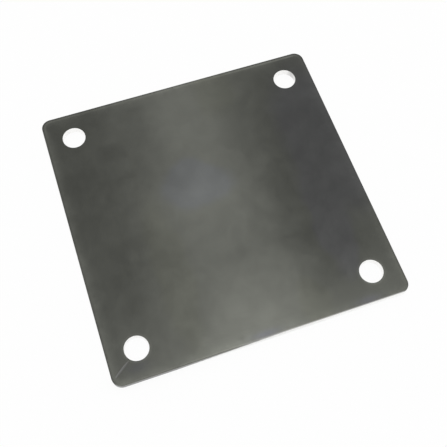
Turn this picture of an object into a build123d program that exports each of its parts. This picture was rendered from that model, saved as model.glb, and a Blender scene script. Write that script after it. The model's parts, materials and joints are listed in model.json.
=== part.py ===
from build123d import *
import os

# Square steel cover plate, cut from flat sheet, with a clearance hole near
# each corner for the bolts that hold it over an opening.
# Millimetres, +Z up. The origin is the centre of the underside, which is the
# face that bears on the frame; X and Y run along the plate's sides.

# Driving dimensions
plate_length = 150.0        # along X
plate_width = 150.0         # along Y
plate_thickness = 4.0       # sheet gauge
corner_radius = 5.0         # rounded corners of the outline
outline_edge_round = 0.5    # deburred edge all round the outline, both faces
hole_diameter = 12.0        # clearance for an M10 bolt
hole_edge_distance = 15.0   # from each side of the plate to a hole's centre
hole_edge_break = 0.25      # deburred rim of each hole, both faces

# Dependent sizes
hole_spacing_x = plate_length - 2 * hole_edge_distance
hole_spacing_y = plate_width - 2 * hole_edge_distance
# Two deburred edges share the thickness, so neither may take half of it.
outline_round = min(outline_edge_round, 0.45 * plate_thickness)
rim_break = min(hole_edge_break, 0.45 * plate_thickness)


def plate_blank():
    """The outline with its rounded corners, raised to the sheet's gauge."""
    with BuildPart() as blank:
        with BuildSketch():
            RectangleRounded(plate_length, plate_width, corner_radius)
        extrude(amount=plate_thickness)
        faces_across = blank.faces().filter_by(Axis.Z)
        fillet(faces_across.edges(), radius=outline_round)
    return blank.part


def bolt_hole():
    """The tool that cuts one hole: its wall and the deburred rim at each face."""
    hole_radius = hole_diameter / 2
    rim_radius = hole_radius + rim_break
    with BuildPart() as cutter:
        with BuildSketch(Plane.XZ):
            with BuildLine():
                Polyline(
                    (0, 0),
                    (rim_radius, 0),
                    (hole_radius, rim_break),
                    (hole_radius, plate_thickness - rim_break),
                    (rim_radius, plate_thickness),
                    (0, plate_thickness),
                    close=True,
                )
            make_face()
        revolve(axis=Axis.Z)
    return cutter.part


def cover_plate():
    """The finished plate: the blank less a hole at each corner."""
    corner_holes = GridLocations(hole_spacing_x, hole_spacing_y, 2, 2)
    cutter = bolt_hole()
    plate = plate_blank()
    for place in corner_holes:
        plate -= place * cutter
    plate.label = "plate"
    return plate


os.makedirs("parts", exist_ok=True)
export_step(cover_plate(), "parts/plate.step")
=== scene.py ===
import json
from math import hypot, pi, radians

import bpy
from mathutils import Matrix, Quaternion, Vector


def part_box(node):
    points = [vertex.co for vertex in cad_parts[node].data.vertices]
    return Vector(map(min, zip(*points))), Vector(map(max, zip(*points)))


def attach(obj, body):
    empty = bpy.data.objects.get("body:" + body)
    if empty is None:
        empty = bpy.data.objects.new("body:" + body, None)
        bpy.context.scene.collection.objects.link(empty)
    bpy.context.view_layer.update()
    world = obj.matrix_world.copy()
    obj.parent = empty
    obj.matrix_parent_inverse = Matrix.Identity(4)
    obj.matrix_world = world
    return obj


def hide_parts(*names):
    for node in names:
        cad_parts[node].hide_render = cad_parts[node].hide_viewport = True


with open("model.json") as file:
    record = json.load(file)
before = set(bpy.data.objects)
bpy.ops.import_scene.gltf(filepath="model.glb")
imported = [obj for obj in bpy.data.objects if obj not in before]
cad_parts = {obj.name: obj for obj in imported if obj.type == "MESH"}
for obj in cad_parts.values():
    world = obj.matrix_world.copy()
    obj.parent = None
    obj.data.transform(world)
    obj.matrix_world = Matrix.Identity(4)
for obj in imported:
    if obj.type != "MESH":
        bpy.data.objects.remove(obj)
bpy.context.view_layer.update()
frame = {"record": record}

mm = 0.001                      # the scene is in metres, and the values below are in millimetres


def deselectAll():
    if bpy.context.mode != "OBJECT":
        bpy.ops.object.mode_set(mode="OBJECT")
    bpy.ops.object.select_all(action="DESELECT")


def workOn(piece):
    deselectAll()
    piece.select_set(True)
    bpy.context.view_layer.objects.active = piece


def selectEdges(piece, wanted):
    # leaves edit mode on, with only the edges selected whose two ends pass the test
    workOn(piece)
    bpy.ops.object.mode_set(mode="EDIT")
    bpy.ops.mesh.select_mode(type="EDGE")
    bpy.ops.mesh.select_all(action="DESELECT")
    bpy.ops.object.mode_set(mode="OBJECT")
    points = piece.data.vertices
    for edge in piece.data.edges:
        start, end = (points[i].co for i in edge.vertices)
        edge.select = wanted(start, end)
    bpy.ops.object.mode_set(mode="EDIT")


def applyModifier(piece, kind, **settings):
    workOn(piece)
    bpy.ops.object.modifier_add(type=kind)
    modifier = piece.modifiers[-1]
    for name, value in settings.items():
        setattr(modifier, name, value)
    bpy.ops.object.modifier_apply(modifier=modifier.name)


def cutAway(piece, cutter):
    applyModifier(piece, "BOOLEAN", operation="DIFFERENCE", solver="MANIFOLD", object=cutter)
    workOn(cutter)
    bpy.ops.object.delete()


def mergeClose(piece, distance):
    workOn(piece)
    bpy.ops.object.mode_set(mode="EDIT")
    bpy.ops.mesh.select_all(action="SELECT")
    bpy.ops.mesh.remove_doubles(threshold=distance)
    bpy.ops.mesh.dissolve_degenerate(threshold=distance)
    bpy.ops.object.mode_set(mode="OBJECT")


class Wire:
    # one output of a node, and sums on it add Math nodes to the same material
    def __init__(self, tree, socket=None):
        self.tree = tree
        self.socket = socket

    def add(self, kind, settings=None, inputs=None, output=0):
        node = self.tree.nodes.new(kind)
        for name, value in (settings or {}).items():
            setattr(node, name, value)
        for name, value in (inputs or {}).items():
            if isinstance(value, Wire):
                self.tree.links.new(value.socket, node.inputs[name])
            else:
                node.inputs[name].default_value = value
        return Wire(self.tree, node.outputs[output] if node.outputs else None)

    def out(self, name):
        return Wire(self.tree, self.socket.node.outputs[name])

    def math(self, operation, *values, clamp=False):
        settings = {"operation": operation, "use_clamp": clamp}
        return self.add("ShaderNodeMath", settings, dict(enumerate(values)))

    def vectorMath(self, operation, other):
        return self.add("ShaderNodeVectorMath", {"operation": operation}, {0: self, 1: other})

    def __add__(self, other):
        if self.socket.type == "VECTOR":
            return self.vectorMath("ADD", other)
        return self.math("ADD", self, other)

    def __sub__(self, other):
        return self.math("SUBTRACT", self, other)

    def __rsub__(self, other):
        return self.math("SUBTRACT", other, self)

    def __mul__(self, other):
        return self.math("MULTIPLY", self, other)

    def __truediv__(self, other):
        return self.math("DIVIDE", self, other)

    __radd__ = __add__
    __rmul__ = __mul__

    def size(self):
        return self.math("ABSOLUTE", self)

    def atLeast(self, low):
        return self.math("MAXIMUM", self, low)

    def atMost(self, high):
        return self.math("MINIMUM", self, high)

    def root(self):
        return self.math("SQRT", self)

    def clamped(self):
        return self.math("ADD", self, 0.0, clamp=True)

    def bell(self, width):
        # 1 where this is zero, fading evenly on both sides
        share = self / width
        return self.math("EXPONENT", share * share * -1.0)

    def rise(self, start, end):
        # 0 up to start and 1 from end on, with a soft slope between
        return self.add("ShaderNodeMapRange", {"interpolation_type": "SMOOTHSTEP"},
                        {"Value": self, "From Min": start, "From Max": end})

    def stretched(self, x, y, z):
        return self.vectorMath("MULTIPLY", (x, y, z))

    def moved(self, x, y, z):
        return self.vectorMath("ADD", (x, y, z))

    def parts(self):
        split = self.add("ShaderNodeSeparateXYZ", {}, {0: self}, "X")
        return split, split.out("Y"), split.out("Z")

    def swirl(self, grain, reach):
        # a vector that carries patterns off their place by up to about half the reach
        values = {"Vector": self, "Scale": 1.0 / grain, "Detail": 3.0}
        shade = self.add("ShaderNodeTexNoise", {}, values, "Color")
        return shade.vectorMath("SUBTRACT", (0.5, 0.5, 0.5)).stretched(2 * reach, 2 * reach, 0.0)

    def noise(self, grain, detail=2.0, roughness=0.5):
        # read at this place, from about -1 to 1, with features about one grain across
        values = {"Vector": self, "Scale": 1.0 / grain, "Detail": detail, "Roughness": roughness}
        return (self.add("ShaderNodeTexNoise", {}, values) - 0.5) * 2.0

    def blend(self, first, second):
        # of two colours, with this as the share of the second
        inputs = {0: self}
        for socket, shade in ((6, first), (7, second)):
            inputs[socket] = shade if isinstance(shade, Wire) else (*shade, 1.0)
        return self.add("ShaderNodeMix", {"data_type": "RGBA"}, inputs, output=2)

    def lit(self, colour):
        # a colour as much lighter or darker as this says
        return self.add("ShaderNodeVectorMath", {"operation": "SCALE"}, {0: colour, "Scale": self})


def startMaterial(name):
    material = bpy.data.materials.new(name)
    material.use_nodes = True
    material.node_tree.nodes.clear()
    return material, Wire(material.node_tree)


def placeInMm(wire):
    return wire.add("ShaderNodeTexCoord", output="Object").stretched(1 / mm, 1 / mm, 1 / mm)


# the plate

lowCorner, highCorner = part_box("plate")
plateSpan = highCorner - lowCorner
plateMiddle = (lowCorner + highCorner) / 2
holePattern = next(m for m in frame["record"]["mounts"] if m["kind"] == "bolt_pattern")["dims"]
holeRadius = holePattern["hole_r_mm"] * mm
holePlaces = [
    (sideX * holePattern["spacing_x_mm"] * mm / 2, sideY * holePattern["spacing_y_mm"] * mm / 2)
    for sideY in (-1, 1) for sideX in (-1, 1)
]

plateShape = {
    "cornerRadius": 5.0, "cornerSteps": 14,
    "edgeRound": 0.5, "edgeSteps": 5,        # the deburred edge round both faces
    "holeSides": 96,
    "drillLength": 3.0,                      # in thicknesses of the plate
    "rimBreak": 0.25, "rimSteps": 3,         # the deburred rims of the holes
    "touching": 0.02,                        # how near a point is to what it lies on
    "merge": 0.001,                          # points nearer than this become one
    "smoothAngle": 40.0, "normalWeight": 100,
    "wallTilt": 0.3,                         # a face whose normal rises less than this is a wall
}

scratch = {                                  # on the outer face, from a hole's rim towards the corner
    "start": (-65.2, -64.6), "end": (-73.2, -70.5),
    "width": 1.1, "depth": 0.08,
    "sectionSteps": 96, "lengthSteps": 60,
    # its faces lie up to a margin past its ends, at least this deep and nearly level
    "margin": 1.0, "sunk": 0.002, "tilt": 0.8,
}


def outlineGap(point, shape):
    # how far inside the outline a point lies, with the corners counted as arcs
    radius = shape["cornerRadius"] * mm
    acrossX = abs(point.x - plateMiddle.x) - plateSpan.x / 2 + radius
    acrossY = abs(point.y - plateMiddle.y) - plateSpan.y / 2 + radius
    outside = hypot(max(acrossX, 0.0), max(acrossY, 0.0))
    return radius - outside - min(max(acrossX, acrossY), 0.0)


def onFace(point, shape):
    near = shape["touching"] * mm
    return abs(point.z - lowCorner.z) < near or abs(point.z - highCorner.z) < near


def onOutline(start, end, shape):
    near = shape["touching"] * mm
    if start.z != end.z or not onFace(start, shape):
        return False
    spots = (start, end, (start + end) / 2)
    return all(abs(outlineGap(spot, shape)) < near for spot in spots)


def onRim(start, end, shape):
    near = shape["touching"] * mm
    if not (onFace(start, shape) and onFace(end, shape) and abs(start.z - end.z) < near):
        return False
    return any(
        all(abs(hypot(spot.x - x, spot.y - y) - holeRadius) < near for spot in (start, end))
        for x, y in holePlaces
    )


def cutBlank(shape):
    deselectAll()
    bpy.ops.mesh.primitive_cube_add(size=1.0, location=plateMiddle, scale=plateSpan)
    plate = bpy.context.active_object
    plate.name = "cover_plate"
    bpy.ops.object.transform_apply(location=True, rotation=True, scale=True)
    upright = shape["touching"] * mm
    selectEdges(plate, lambda start, end: (start.xy - end.xy).length < upright)
    bpy.ops.mesh.bevel(offset=shape["cornerRadius"] * mm, segments=shape["cornerSteps"], affect="EDGES")
    # lines through the holes keep the faces round them simple
    for x, y in (holePlaces[0], holePlaces[-1]):
        for across in ((1.0, 0.0, 0.0), (0.0, 1.0, 0.0)):
            bpy.ops.mesh.select_all(action="SELECT")
            bpy.ops.mesh.bisect(plane_co=(x, y, 0.0), plane_no=across)
    bpy.ops.object.mode_set(mode="OBJECT")
    return plate


def drillHoles(plate, shape):
    drillLength = shape["drillLength"] * plateSpan.z
    for x, y in holePlaces:
        deselectAll()
        bpy.ops.mesh.primitive_cylinder_add(vertices=shape["holeSides"], radius=holeRadius,
                                            depth=drillLength, location=(x, y, plateMiddle.z))
        cutAway(plate, bpy.context.active_object)
    mergeClose(plate, shape["merge"] * mm)


def deburr(plate, shape):
    selectEdges(plate, lambda start, end: onRim(start, end, shape))
    bpy.ops.mesh.bevel(offset=shape["rimBreak"] * mm, segments=shape["rimSteps"], affect="EDGES")
    selectEdges(plate, lambda start, end: onOutline(start, end, shape))
    bpy.ops.mesh.bevel(offset=shape["edgeRound"] * mm, segments=shape["edgeSteps"], affect="EDGES")
    bpy.ops.object.mode_set(mode="OBJECT")


def scoreScratch(plate, mark):
    # a long thin ball, sunk by the scratch's depth, leaves a groove that fades out at both ends
    start, end = Vector(mark["start"]) * mm, Vector(mark["end"]) * mm
    halfWidth, depth = mark["width"] * mm / 2, mark["depth"] * mm
    ballRadius = (halfWidth ** 2 + depth ** 2) / (2 * depth)
    rise = ballRadius - depth
    halfLength = (end - start).length / 2 / (1 - (rise / ballRadius) ** 2) ** 0.5
    middle = (start + end) / 2
    along = end - start
    deselectAll()
    bpy.ops.mesh.primitive_uv_sphere_add(segments=mark["sectionSteps"], ring_count=mark["lengthSteps"],
                                         radius=1.0, location=(middle.x, middle.y, highCorner.z + rise))
    cutter = bpy.context.active_object
    cutter.scale = (ballRadius, ballRadius, halfLength)
    cutter.rotation_mode = "QUATERNION"
    cutter.rotation_quaternion = Vector((along.x, along.y, 0.0)).to_track_quat("Z", "Y")
    cutAway(plate, cutter)


def smoothPlate(plate, shape):
    mergeClose(plate, shape["merge"] * mm)
    bpy.ops.object.shade_smooth_by_angle(angle=radians(shape["smoothAngle"]))
    applyModifier(plate, "WEIGHTED_NORMAL", keep_sharp=True, weight=shape["normalWeight"])
    workOn(plate)
    bpy.ops.object.transform_apply(location=True, rotation=True, scale=True)


def giveMaterials(plate, materials, shape, mark):
    # mill face first, then the cut walls, then the bare metal of the scratch
    wallIndex, scratchIndex = 1, 2
    plate.data.materials.clear()
    for material in materials:
        plate.data.materials.append(material)
    start, end = Vector(mark["start"]) * mm, Vector(mark["end"]) * mm
    along = (end - start).normalized()
    margin = mark["margin"] * mm
    for face in plate.data.polygons:
        tilt = abs(face.normal.z)
        if tilt < shape["wallTilt"]:
            face.material_index = wallIndex
        fromStart = face.center.xy - start
        inReach = -margin < fromStart.dot(along) < (end - start).length + margin
        nearLine = abs(fromStart.cross(along)) < mark["width"] * mm
        sunk = highCorner.z - face.center.z > mark["sunk"] * mm and face.center.z > plateMiddle.z
        if inReach and nearLine and sunk and tilt > mark["tilt"]:
            face.material_index = scratchIndex


millFinish = {
    "tone": 0.060,                           # how pale the dark skin is
    "oliveTint": (0.974, 1.0, 0.880),
    "blueTint": (0.970, 0.985, 1.035),
    "roughness": 0.24,
    "metal": 0.9,
    "sideBlend": 0.2,                        # how quickly the underside's skin gives way to the outer one
    "squash": (1.0, 0.9, 40.0),              # of the clouds, so that each side of the sheet has its own
    "drift": 6.0, "driftGrain": 16.0,        # how far and how finely the soft shapes wander
    "patchDrift": (0.0, 0.0, 71.0),          # where the drift of the patches and casts is read
    # clouds in the skin: where each is read, its grain, and a soft edge where it has one
    "clouds": {
        "cloud": {"from": (0.0, 0.0, 17.0), "grain": 24.0, "detail": 3.0, "roughness": 0.55},
        "bank": {
            "from": (40.0, 0.0, 29.0), "grain": 17.0, "detail": 3.0, "roughness": 0.5,
            "edge": (-0.15, 0.15),
        },
        "islet": {
            "from": (12.0, 9.0, 83.0), "grain": 9.0, "detail": 2.0, "roughness": 0.5,
            "edge": (-0.10, 0.14),
        },
        "mottle": {"from": (31.0, 7.0, 3.0), "grain": 5.0, "detail": 3.0, "roughness": 0.6},
    },
    "streak": {"squash": (1.0, 0.03, 1.0), "grain": 1.2, "roughness": 0.6},
    "speck": {"grain": 0.9, "roughness": 0.6},
    "wave": {"from": (5.0, 60.0, 11.0), "grain": 45.0, "detail": 1.0},
    # the share of each in the tone, the roughness and the relief, which is in millimetres
    "cover": {"cloud": 0.16, "bank": 0.07, "islet": 0.05, "mottle": 0.11, "streak": 0.02, "speck": 0.075},
    "roughen": {"cloud": 0.05, "bank": 0.015, "mottle": 0.02},
    "relief": {"wave": 0.25, "mottle": 0.004, "streak": 0.0005, "speck": 0.001},
    # the tone is calmer towards both sides than along the middle
    "contrast": 1.05, "calmer": {"middle": -12.0, "reach": (15.0, 60.0), "drop": 0.3},
    # soft patches, partly thicker and thinner skin and partly painted reflection and painted shade that
    # shape the broad sheen: place, reach along x and y, and how much paler or darker
    "patches": [
        {"at": (-9, 6), "reach": (20, 10), "gain": 0.16},
        {"at": (20, -9), "reach": (13, 12), "gain": 0.10},
        {"at": (-37, -20), "reach": (14, 25), "gain": 0.11},
        {"at": (-9, -75), "reach": (38, 21), "gain": 0.33},
        {"at": (18, -54), "reach": (19, 18), "gain": 0.25},
        {"at": (-19, -26), "reach": (9, 14), "gain": -0.08},
        {"at": (4, -31), "reach": (9, 6), "gain": -0.16},
        {"at": (52, 8), "reach": (17, 50), "gain": -0.09},
        {"at": (38, 36), "reach": (9, 12), "gain": -0.14},
        {"at": (38, -30), "reach": (9, 6), "gain": -0.10},
        {"at": (-23, 48), "reach": (9, 26), "gain": -0.12},
        {"at": (-47, 68), "reach": (10, 12), "gain": -0.18},
        {"at": (0, 76), "reach": (22, 7), "gain": -0.12},
        {"at": (42, 72), "reach": (12, 10), "gain": 0.12},
        {"at": (-66, 25), "reach": (10, 11), "gain": -0.12},
        {"at": (68, -64), "reach": (12, 22), "gain": 0.38},
        {"at": (-70, -24), "reach": (9, 24), "gain": 0.18},
    ],
    # where the olive cast deepens, and where it gives way to plain grey and to cold grey
    "casts": [
        {"tint": (0.974, 1.0, 0.850), "patches": [
            {"at": (-33, -30), "reach": (9, 42)},
            {"at": (20, 66), "reach": (11, 18)},
            {"at": (28, -66), "reach": (8, 14)},
        ]},
        {"tint": (0.988, 1.0, 0.990), "patches": [
            {"at": (68, 20), "reach": (24, 48)},
            {"at": (50, -30), "reach": (7, 27)},
        ]},
        {"tint": (0.960, 1.0, 0.990), "patches": [
            {"at": (-5, 10), "reach": (19, 10)},
            {"at": (-9, 19), "reach": (10, 9)},
        ]},
    ],
    "castEdge": (0.2, 0.6),
    # small spots of blue: their share in the tint, and how much paler or darker they are
    "blueSpots": [
        {"at": (-62, -68.8), "reach": (5, 2.5), "share": 0.55, "gain": -0.08},
        {"at": (0, -73), "reach": (7, 1.8), "share": 1.0, "gain": -0.12},
        {"at": (53, -73), "reach": (6, 2.0), "share": 0.9, "gain": 0.05},
    ],
    # where the wear and the painted edge light along each side begin and are full, the front one by its
    # distance from the edge
    "left": (-62.0, -70.0), "right": (62.0, 70.0), "rightAlong": (-25.0, -60.0),
    "back": (62.0, 70.0), "front": (3.0, 1.0),
    # the border, partly worn skin and partly a painted edge highlight, broken here and there, and a fine
    # painted highlight line that grows to both ends of the back
    "border": {"gap": 1.3, "width": 2.8, "gain": 0.20, "left": 0.20},
    "broken": {"from": (0.0, 0.0, 55.0), "grain": 5.0, "edge": (-0.5, 0.3), "least": 0.4},
    "highlightLine": {
        "gap": 1.6, "width": 0.55, "left": 0.12, "right": 0.12, "back": 0.26,
        "toRight": (10.0, 80.0), "rightEnd": 0.90, "toLeft": (-30.0, -75.0), "leftEnd": 0.25,
        "fade": (75.0, 68.0),
    },
    # the edge rounding: painted shade on it at the back, a painted highlight on it at the front
    "rounding": {"from": 0.6, "gain": -0.06, "back": -0.18, "front": 0.36, "frontRim": 1.10},
    "ring": {"gap": 0.6, "width": 0.5, "gain": 0.25, "along": (20.0, -20.0)},   # round the front holes
    # a painted highlight along the front edge
    "frontHighlight": {"reach": (1.4, 0.3), "gain": 0.10},                                 # along the front edge
    # the front edge is rubbed to bare metal and carries a painted highlight towards the right, from just
    # above the rounding on down
    "bareAndHighlight": {
        "tint": (0.86, 0.86, 0.85), "above": 0.12, "below": 0.58,
        "along": (-18.0, 12.0), "ragged": 20.0,
    },
    # small stains
    "marks": [
        {"at": (-69, -55.5), "reach": (2.5, 2.0), "gain": 0.12},
        {"at": (-11.7, -71.5), "reach": (1.5, 1.2), "gain": -0.18},
        {"at": (28, -30), "reach": (4.0, 1.5), "gain": -0.10},
        {"at": (-24, 67), "reach": (5.0, 1.5), "gain": -0.10},
        {"at": (-20, 62), "reach": (5.0, 1.5), "gain": 0.08},
    ],
}


def spread(x, y, patch):
    # 1 in the middle of a soft patch, fading all round
    centreX, centreY = patch["at"]
    reachX, reachY = patch["reach"]
    awayX = (x - centreX) / reachX
    awayY = (y - centreY) / reachY
    return (awayX * awayX + awayY * awayY).root().bell(1.0)


def insideOutline(x, y, shape):
    # the outline gap again, in shader maths and in millimetres
    radius = shape["cornerRadius"]
    acrossX = x.size() - (plateSpan.x / 2 / mm - radius)
    acrossY = y.size() - (plateSpan.y / 2 / mm - radius)
    outX, outY = acrossX.atLeast(0.0), acrossY.atLeast(0.0)
    outside = (outX * outX + outY * outY).root()
    inside = acrossX.atLeast(acrossY).atMost(0.0)
    return radius - outside - inside


def outsideHoles(x, y):
    halfX = holePattern["spacing_x_mm"] / 2
    halfY = holePattern["spacing_y_mm"] / 2
    awayX = x.size() - halfX
    awayY = y.size() - halfY
    return (awayX * awayX + awayY * awayY).root() - holePattern["hole_r_mm"]


def weigh(shades, weights):
    return sum(shades[name] * weight for name, weight in weights.items())


def skinShades(sheet, look):
    wander = sheet.swirl(look["driftGrain"], look["drift"])
    shades = {}
    for name, layer in look["clouds"].items():
        shade = sheet.moved(*layer["from"]) + wander
        shade = shade.noise(layer["grain"], layer["detail"], layer["roughness"])
        shades[name] = shade.rise(*layer["edge"]) - 0.5 if "edge" in layer else shade
    streak, speck, wave = look["streak"], look["speck"], look["wave"]
    streaky = sheet.stretched(*streak["squash"])
    shades["streak"] = streaky.noise(streak["grain"], roughness=streak["roughness"])
    shades["speck"] = sheet.noise(speck["grain"], roughness=speck["roughness"])
    shades["wave"] = sheet.moved(*wave["from"]).noise(wave["grain"], detail=wave["detail"])
    return shades


def edgeWearAndPaintedLight(x, y, outerSide, sheet, look, shape):
    # how much paler or darker the skin is along the outline, in the stains and round the holes, with
    # painted highlights and painted shade along the edges
    gap = insideOutline(x, y, shape)
    front = y + plateSpan.y / 2 / mm
    atLeft, atBack = x.rise(*look["left"]), y.rise(*look["back"])
    atRight = x.rise(*look["right"]) * y.rise(*look["rightAlong"])
    atFront = front.rise(*look["front"]) * outerSide

    broken = look["broken"]
    whole = sheet.moved(*broken["from"]).noise(broken["grain"]).rise(*broken["edge"])
    whole = whole * (1.0 - broken["least"]) + broken["least"]
    border = look["border"]
    borderGain = atLeft * border["left"] + border["gain"]
    wearAndPaintedLight = 1.0 + (gap - border["gap"]).bell(border["width"]) * whole * borderGain

    # a fine painted highlight line just inside the edge
    highlightLine = look["highlightLine"]
    ends = x.rise(*highlightLine["toRight"]) * highlightLine["rightEnd"] + x.rise(*highlightLine["toLeft"]) * highlightLine["leftEnd"]
    alongBack = (ends + highlightLine["back"]) * atBack * x.rise(*highlightLine["fade"])
    lineGain = alongBack.atLeast(atLeft * highlightLine["left"] + atRight * highlightLine["right"])
    wearAndPaintedLight = wearAndPaintedLight + (gap - highlightLine["gap"]).bell(highlightLine["width"]) * lineGain

    # painted shade and painted highlight on the rounding
    rounding, edge = look["rounding"], shape["edgeRound"]
    roundGain = atBack * rounding["back"] + atFront * rounding["front"] + rounding["gain"]
    wearAndPaintedLight = wearAndPaintedLight + gap.rise(edge + rounding["from"], edge) * roundGain
    wearAndPaintedLight = wearAndPaintedLight + gap.rise(edge, 0.0) * atFront * rounding["frontRim"]

    ring, frontHighlight = look["ring"], look["frontHighlight"]
    ringGain = whole * y.rise(*ring["along"]) * ring["gain"]
    wearAndPaintedLight = wearAndPaintedLight + (outsideHoles(x, y) - ring["gap"]).bell(ring["width"]) * ringGain
    # a painted highlight along the front edge, then the stains
    stainsAndHighlight = front.rise(*frontHighlight["reach"]) * frontHighlight["gain"]
    for mark in look["marks"]:
        stainsAndHighlight = stainsAndHighlight + spread(x, y, mark) * mark["gain"]
    return wearAndPaintedLight + stainsAndHighlight * outerSide


def makeMillFace(look, shape):
    material, wire = startMaterial("millFace")
    place = placeInMm(wire)
    x, y, z = place.parts()
    outerSide = (z - plateSpan.z / 2 / mm).rise(-look["sideBlend"], look["sideBlend"])
    sheet = place.stretched(*look["squash"])
    shades = skinShades(sheet, look)
    calmer = look["calmer"]
    calm = (x - calmer["middle"]).size().rise(*calmer["reach"]) * calmer["drop"]
    texture = 1.0 + weigh(shades, look["cover"]) * (look["contrast"] - calm)

    loose = place + sheet.moved(*look["patchDrift"]).swirl(look["driftGrain"], look["drift"])
    looseX, looseY = loose.parts()[:2]
    patches = 1.0
    for patch in look["patches"]:
        patches = patches + spread(looseX, looseY, patch) * patch["gain"]
    tint = look["oliveTint"]
    for cast in look["casts"]:
        share = sum(spread(looseX, looseY, patch) for patch in cast["patches"])
        tint = share.rise(*look["castEdge"]).blend(tint, cast["tint"])
    blueShare = 0.0
    for spot in look["blueSpots"]:
        spotShare = spread(x, y, spot) * outerSide
        blueShare = blueShare + spotShare * spot["share"]
        patches = patches + spotShare * spot["gain"]
    tint = blueShare.clamped().blend(tint, look["blueTint"])

    # bare metal and a painted highlight on the front edge's rounding, towards the right
    bareAndHighlight, edge = look["bareAndHighlight"], shape["edgeRound"]
    bareAndHighlightShare = (y + plateSpan.y / 2 / mm).rise(edge + bareAndHighlight["above"], edge - bareAndHighlight["below"])
    bareAndHighlightShare = bareAndHighlightShare * (x + shades["mottle"] * bareAndHighlight["ragged"]).rise(*bareAndHighlight["along"]) * outerSide
    # the tone holds the skin's clouds and stains together with painted reflection, painted highlights and
    # painted shade
    tone = texture * patches * edgeWearAndPaintedLight(x, y, outerSide, sheet, look, shape) * look["tone"]
    relief = weigh(shades, look["relief"])
    bump = wire.add("ShaderNodeBump", {}, {"Strength": 1.0, "Distance": mm, "Height": relief})
    surface = wire.add("ShaderNodeBsdfPrincipled", {}, {
        "Base Color": bareAndHighlightShare.blend(tone.lit(tint), bareAndHighlight["tint"]),
        "Metallic": look["metal"],
        "Roughness": look["roughness"] + weigh(shades, look["roughen"]),
        "Normal": bump,
    })
    wire.add("ShaderNodeOutputMaterial", {}, {"Surface": surface})
    return material


cutWall = {
    "tone": 0.90, "highlightTone": 0.98,         # as it is cut, and where a painted highlight brightens it
    "highlightInHoles": (3.0, 1.0),              # by the distance from their walls
    "highlightAlong": (14.0, 44.0),              # on the front wall, towards the right
    "tint": (1.0, 0.995, 0.98),
    "roughness": 0.32,
    "front": (8.0, 4.0),                     # how near the front a wall counts as the front one
    # the upright lines that the cut leaves, and broader bands among them
    "grains": {
        "lines": {"squash": (1.0, 1.0, 0.08), "grain": 0.35},
        "bands": {"squash": (1.0, 1.0, 0.25), "grain": 3.0},
    },
    "cover": {"lines": 0.14, "bands": 0.12},
    "roughen": {"bands": 0.05},
    "relief": {"lines": 0.02, "bands": 0.02}, "reliefStrength": 0.5,
    # at the front left corner the wall kept its dark skin, which thins to a wedge under the top edge
    "skinTone": 0.18,
    "skinAlong": (-60.0, -62.5), "skinRagged": {"bands": 3.0, "lines": 1.0},
    "wedgeEnd": 1.0, "wedgeSlope": 0.075, "wedgeBlend": 0.25, "wedgeRagged": {"bands": 0.8, "lines": 0.5},
    "thinAlong": (-48.0, -12.0), "thinGain": 0.40,           # the wedge is paler where it thins
    "boreShade": {"at": (65.5, 62.5), "reach": (2.5, 3.0), "gain": 0.3},   # painted shade on the wall of the back right hole
}


def makeCutWall(look):
    material, wire = startMaterial("cutWall")
    place = placeInMm(wire)
    x, y, z = place.parts()
    shades = {}
    for name, layer in look["grains"].items():
        shades[name] = place.stretched(*layer["squash"]).noise(layer["grain"])
    onFront = (y + plateSpan.y / 2 / mm).rise(*look["front"])

    corner = (x + weigh(shades, look["skinRagged"])).rise(*look["skinAlong"])
    depth = highCorner.z / mm - z
    wedgeDepth = (look["wedgeEnd"] - x) * look["wedgeSlope"] + weigh(shades, look["wedgeRagged"])
    wedge = (depth - wedgeDepth).rise(look["wedgeBlend"], -look["wedgeBlend"])
    skin = corner.atLeast(wedge) * onFront
    thin = x.rise(*look["thinAlong"]) * look["thinGain"] + 1.0

    # painted highlight: the hole walls and the right part of the front wall made brighter
    highlight = outsideHoles(x, y).rise(*look["highlightInHoles"]).atLeast(x.rise(*look["highlightAlong"]) * onFront)
    bright = highlight * (look["highlightTone"] - look["tone"]) + look["tone"]
    tone = (1.0 - skin) * bright + skin * thin * look["skinTone"]
    # painted shade on one side of the back right hole's wall
    boreShade = look["boreShade"]
    tone = tone * (1.0 + weigh(shades, look["cover"])) * (1.0 - spread(x, y, boreShade) * boreShade["gain"])
    bump = wire.add("ShaderNodeBump", {}, {
        "Strength": look["reliefStrength"], "Distance": mm, "Height": weigh(shades, look["relief"]),
    })
    surface = wire.add("ShaderNodeBsdfPrincipled", {}, {
        "Base Color": tone.atMost(1.0).lit(look["tint"]),
        "Metallic": 1.0,
        "Roughness": look["roughness"] + weigh(shades, look["roughen"]),
        "Normal": bump,
    })
    wire.add("ShaderNodeOutputMaterial", {}, {"Surface": surface})
    return material


bareMetal = {
    "tone": 0.11, "tint": (1.0, 1.0, 0.97), "roughness": 0.35,
    "grain": 0.25, "cover": 0.2, "roughen": 0.05,
}


def makeBareMetal(look):
    material, wire = startMaterial("bareMetal")
    grain = placeInMm(wire).noise(look["grain"])
    tone = (1.0 + grain * look["cover"]) * look["tone"]
    surface = wire.add("ShaderNodeBsdfPrincipled", {}, {
        "Base Color": tone.lit(look["tint"]),
        "Metallic": 1.0,
        "Roughness": look["roughness"] + grain * look["roughen"],
    })
    wire.add("ShaderNodeOutputMaterial", {}, {"Surface": surface})
    return material


plate = cutBlank(plateShape)
drillHoles(plate, plateShape)
deburr(plate, plateShape)
print("plate cut, drilled and deburred:", len(plate.data.polygons), "faces")
scoreScratch(plate, scratch)
smoothPlate(plate, plateShape)
finishes = [makeMillFace(millFinish, plateShape), makeCutWall(cutWall), makeBareMetal(bareMetal)]
giveMaterials(plate, finishes, plateShape, scratch)
print("scratch and finishes on:", len(plate.data.polygons), "faces")
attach(plate, "root")
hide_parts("plate")


# the studio

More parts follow.
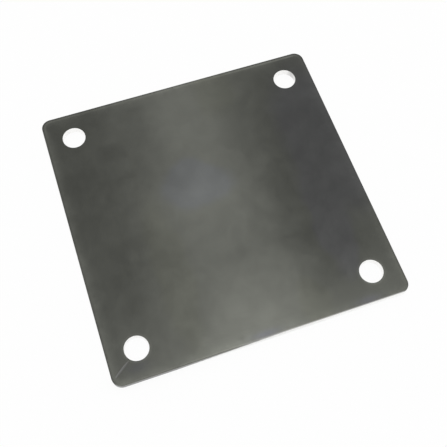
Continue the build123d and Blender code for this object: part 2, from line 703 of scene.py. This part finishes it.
studio = {
    "skyLevel": 0.80, "skySeen": 0.99,      # on matt things, and where it is seen directly or mirrored
    "floorSize": 20000.0, "floorColour": 0.92, "floorGlow": 0.92,
    "lamps": [
        {"name": "strip", "at": (130.0, 480.0, 900.0), "aim": (130.0, 480.0, 0.0),
         "size": (150.0, 800.0), "turn": -3.0, "bright": 2.3},
        {"name": "panel", "at": (130.0, 60.0, 900.0), "aim": (130.0, 60.0, 0.0),
         "size": (520.0, 160.0), "turn": 0.0, "bright": 2.2},
        {"name": "softBox", "at": (-700.0, -700.0, 1200.0), "aim": (0.0, 0.0, 0.0),
         "size": (800.0, 800.0), "turn": 0.0, "bright": 0.9},
    ],
}
view = {
    "lens": 56.74, "sensor": 36.0,
    "at": (-52.3, -148.0, 329.3), "aim": (-0.73, -12.57, 4.0), "tilt": 2.12,
    "clip": (10.0, 100000.0),
}
white = (1.0, 1.0, 1.0, 1.0)


def directlySeen(wire):
    path = wire.add("ShaderNodeLightPath", output="Is Camera Ray")
    return (path + path.out("Is Glossy Ray") + path.out("Is Transmission Ray")).clamped()


def makeSky(look):
    world = bpy.data.worlds.new("studioSky")
    bpy.context.scene.world = world
    world.use_nodes = True
    world.node_tree.nodes.clear()
    wire = Wire(world.node_tree)
    strength = directlySeen(wire) * (look["skySeen"] - look["skyLevel"]) + look["skyLevel"]
    sky = wire.add("ShaderNodeBackground", {}, {"Color": white, "Strength": strength})
    wire.add("ShaderNodeOutputWorld", {}, {"Surface": sky})


def makeFloor(look):
    deselectAll()
    bpy.ops.mesh.primitive_plane_add(size=look["floorSize"] * mm, location=(0.0, 0.0, lowCorner.z))
    floor = bpy.context.active_object
    floor.name = "floor"
    material, wire = startMaterial("paleFloor")
    grey = (look["floorColour"],) * 3 + (1.0,)
    matt = wire.add("ShaderNodeBsdfDiffuse", {}, {"Color": grey})
    glow = wire.add("ShaderNodeEmission", {}, {"Color": white, "Strength": 1.0})
    share = directlySeen(wire) * look["floorGlow"]
    surface = wire.add("ShaderNodeMixShader", {}, {0: share, 1: matt, 2: glow})
    wire.add("ShaderNodeOutputMaterial", {}, {"Surface": surface})
    floor.data.materials.append(material)


def hangLamp(look):
    place, aim = Vector(look["at"]) * mm, Vector(look["aim"]) * mm
    width, length = (side * mm for side in look["size"])
    deselectAll()
    bpy.ops.object.light_add(type="AREA", location=place)
    lamp = bpy.context.active_object
    lamp.name = look["name"]
    facing = (aim - place).to_track_quat("-Z", "Y")
    turned = facing @ Quaternion((0.0, 0.0, 1.0), radians(look["turn"]))
    lamp.rotation_euler = turned.to_euler()
    lamp.data.shape = "RECTANGLE"
    lamp.data.size, lamp.data.size_y = width, length
    lamp.data.energy = look["bright"] * width * length * pi
    lamp.visible_camera = False


def standCamera(look):
    place, aim = Vector(look["at"]) * mm, Vector(look["aim"]) * mm
    deselectAll()
    bpy.ops.object.camera_add(location=place)
    camera = bpy.context.active_object
    camera.data.lens = look["lens"]
    camera.data.sensor_width = look["sensor"]
    camera.data.clip_start, camera.data.clip_end = (reach * mm for reach in look["clip"])
    camera.rotation_mode = "QUATERNION"
    level = (aim - place).to_track_quat("-Z", "Y")
    camera.rotation_quaternion = level @ Quaternion((0.0, 0.0, 1.0), radians(look["tilt"]))
    bpy.context.scene.camera = camera


makeSky(studio)
makeFloor(studio)
for lampLook in studio["lamps"]:
    hangLamp(lampLook)
standCamera(view)
bpy.context.scene.view_settings.view_transform = "Standard"
print("studio lit")

bpy.context.view_layer.update()
